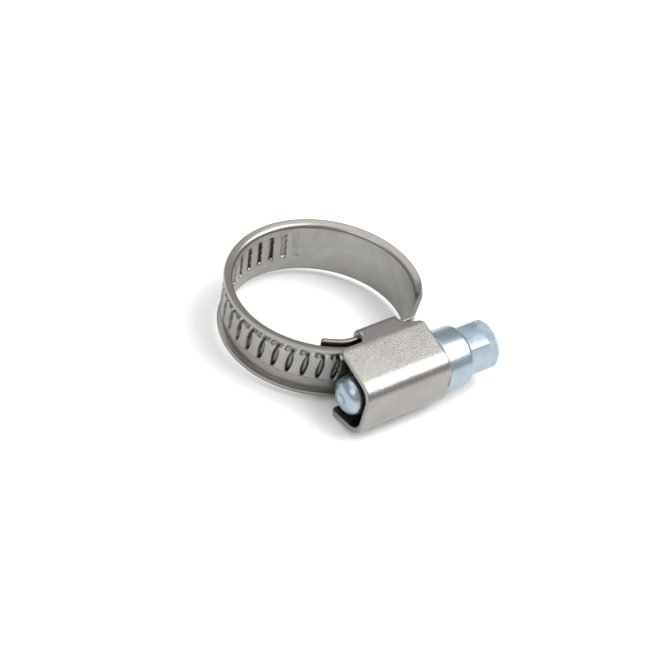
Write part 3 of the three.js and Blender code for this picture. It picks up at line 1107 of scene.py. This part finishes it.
    def ease(self, bar: BMesh) -> None:
        """Rounds the hexagon's long edges a little."""
        long_edges = [e for e in bar.edges if abs(e.verts[0].co.x - e.verts[1].co.x) > self.edge_round]
        bmesh.ops.bevel(
            bar, geom=long_edges, offset=self.edge_round, segments=3, profile=0.5,
            affect="EDGES", material=-1,
        )

    def add(self, bm: BMesh, extra: BMesh) -> None:
        """Adds one shape to another and frees it."""
        mesh = bpy.data.meshes.new("passing")
        extra.to_mesh(mesh)
        extra.free()
        bm.from_mesh(mesh)
        bpy.data.meshes.remove(mesh)

    def build(self) -> Object:
        """Builds the screw and ties it to its body."""
        bm = bmesh.new()
        self.turn(bm)
        self.wind(bm)
        self.head(bm)
        bmesh.ops.translate(bm, vec=(0, self.axis_y, 0), verts=bm.verts[:])
        piece = finish_piece(bm, "screw_one_piece", self.sharp_angle)
        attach(piece, Body.SCREW.value)
        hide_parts("worm_screw")
        return piece


# ---- studio


@dataclass(frozen=True)
class SoftBox:
    """A square studio light that faces the clamp."""

    name: str
    azimuth: float  # degrees round from -Y towards +X
    elevation: float  # degrees above the floor
    distance: float  # mm
    size: float  # mm
    power: float  # watts


@dataclass
class Studio:
    """The floor, the soft lights and the camera."""

    centre: Vector
    floor_z: float
    floor_radius: float = 1.6  # metres
    floor_sides: int = 96
    floor_colour: str = "#f6f6f5"
    floor_roughness: float = 0.9
    sky_colour: str = "#f2f3f5"
    sky_strength: float = 0.68
    camera_aim: tuple[float, float, float] = (-1.43, -3.45, 0.0)  # mm from the ring's centre
    camera_azimuth: float = -41.9
    camera_elevation: float = 44.76
    camera_roll: float = 11.8
    camera_distance: float = 277.0
    focal: float = 110.2
    clip_start: float = 0.01  # metres
    lights: tuple[SoftBox, ...] = (
        SoftBox("key_soft_box", 54, 54, 400, 295, 1.6),
        SoftBox("top_soft_box", 190, 76, 700, 800, 2.2),
        SoftBox("left_soft_box", -75, 40, 460, 260, 0.4),
    )

    def towards(self, azimuth: float, elevation: float) -> Vector:
        """Gives the unit direction at an azimuth and elevation, in degrees."""
        turn, lift = math.radians(azimuth), math.radians(elevation)
        return Vector((math.sin(turn) * math.cos(lift), -math.cos(turn) * math.cos(lift), math.sin(lift)))

    def aim(self, thing: Object, place: Vector, target: Vector, roll: float) -> None:
        """Puts a light or camera at a place, pointed at a target and rolled by degrees, all in metres."""
        turn = (target - place).to_track_quat("-Z", "Y").to_matrix().to_4x4()
        thing.matrix_world = Matrix.Translation(place) @ turn @ Matrix.Rotation(math.radians(roll), 4, "Z")

    def build(self) -> None:
        """Makes the floor, the lights, the sky and the camera."""
        scene = bpy.context.scene
        self.make_floor()
        for light in self.lights:
            data = bpy.data.lights.new(light.name, "AREA")
            data.size = light.size * MM
            data.energy = light.power
            lamp = bpy.data.objects.new(light.name, data)
            scene.collection.objects.link(lamp)
            place = self.centre + self.towards(light.azimuth, light.elevation) * light.distance * MM
            self.aim(lamp, place, self.centre, 0.0)
        world = bpy.data.worlds.new("studio_sky")
        world.use_nodes = True
        sky = world.node_tree.nodes["Background"]
        sky.inputs["Color"].default_value = to_linear(self.sky_colour)
        sky.inputs["Strength"].default_value = self.sky_strength
        scene.world = world
        scene.view_settings.view_transform = "Standard"
        data = bpy.data.cameras.new("camera")
        data.lens = self.focal
        data.clip_start = self.clip_start
        camera = bpy.data.objects.new("camera", data)
        scene.collection.objects.link(camera)
        target = self.centre + Vector(self.camera_aim) * MM
        place = target + self.towards(self.camera_azimuth, self.camera_elevation) * self.camera_distance * MM
        self.aim(camera, place, target, self.camera_roll)
        scene.camera = camera

    def make_floor(self) -> None:
        """Makes a large plain floor under the clamp."""
        bm = bmesh.new()
        bmesh.ops.create_circle(bm, cap_ends=True, segments=self.floor_sides, radius=self.floor_radius)
        bmesh.ops.translate(bm, vec=(0, 0, self.floor_z), verts=bm.verts[:])
        floor = new_object(bm, "floor")
        material = bpy.data.materials.new("matt_white_paper")
        material.use_nodes = True
        tree = material.node_tree
        surface = tree.nodes["Principled BSDF"]
        surface.inputs["Base Color"].default_value = to_linear(self.floor_colour)
        surface.inputs["Roughness"].default_value = self.floor_roughness
        floor.data.materials.append(material)


# ---- whole clamp


def dress(pieces: list[Object], finish: Metal) -> None:
    """Gives pieces one finish, and logs each."""
    material = finish.make()
    for piece in pieces:
        piece.data.materials.append(material)
        LOG.info("%s: %d faces", piece.name, len(piece.data.polygons))


def main() -> None:
    """Builds the clamp and the studio."""
    logging.basicConfig(level=logging.INFO, format="%(name)s: %(message)s")
    joints = {joint["name"]: joint for joint in frame["joints"]}

    def joint_mm(name: str) -> list[float]:
        """Gives a joint's place in millimetres."""
        return [value / MM for value in joints[name]["pos_m"]]

    route = BandRoute()
    segment_low, segment_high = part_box("band_segment_1")
    _, tail_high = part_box("band_tail")
    flexes = sorted((n for n in joints if n.startswith("band_flex_")), key=lambda n: int(n.split("_")[-1]))
    hinges = []
    after = route.join_length - HINGE_APART
    for name in flexes:
        x, y, _ = joint_mm(name)
        hinges.append(route.nearest(x, y, after))
        after = hinges[-1] + HINGE_APART
    tongue_x, tongue_y, _ = joint_mm("tongue_flex")
    band = Band(
        route=route,
        edges=TurnedEdges(half_width=(segment_high.z - segment_low.z) / 2 / MM),
        thread=EmbossedThread(
            last_groove=route.loop_end - GROOVE_BEFORE_END,
            first_length=route.join_length + PLAIN_LENGTH,
        ),
        hinges=hinges,
        tongue_hinge=route.nearest(tongue_x, tongue_y, 0.0),
        tail_end=route.loop_end + tail_high.x / MM - route.tail_start_x,
    )
    dress(band.build(), RolledStainless())

    housing_low, housing_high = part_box("housing")
    housing = Housing(
        left_x=housing_low.x / MM,
        right_x=housing_high.x / MM,
        outer=-housing_low.y / MM,
        half_width=housing_high.z / MM,
    )
    dress([housing.build()], PressedStainless())

    screw_low, screw_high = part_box("worm_screw")
    screw = WormScrew(axis_y=joint_mm("screw_spin")[1], tip_x=screw_low.x / MM, end_x=screw_high.x / MM)
    dress([screw.build()], BlueZinc())

    Studio(centre=Vector((0.0, route.centre_y * MM, 0.0)), floor_z=housing_low.z).build()


if __name__ == "__main__":
    main()
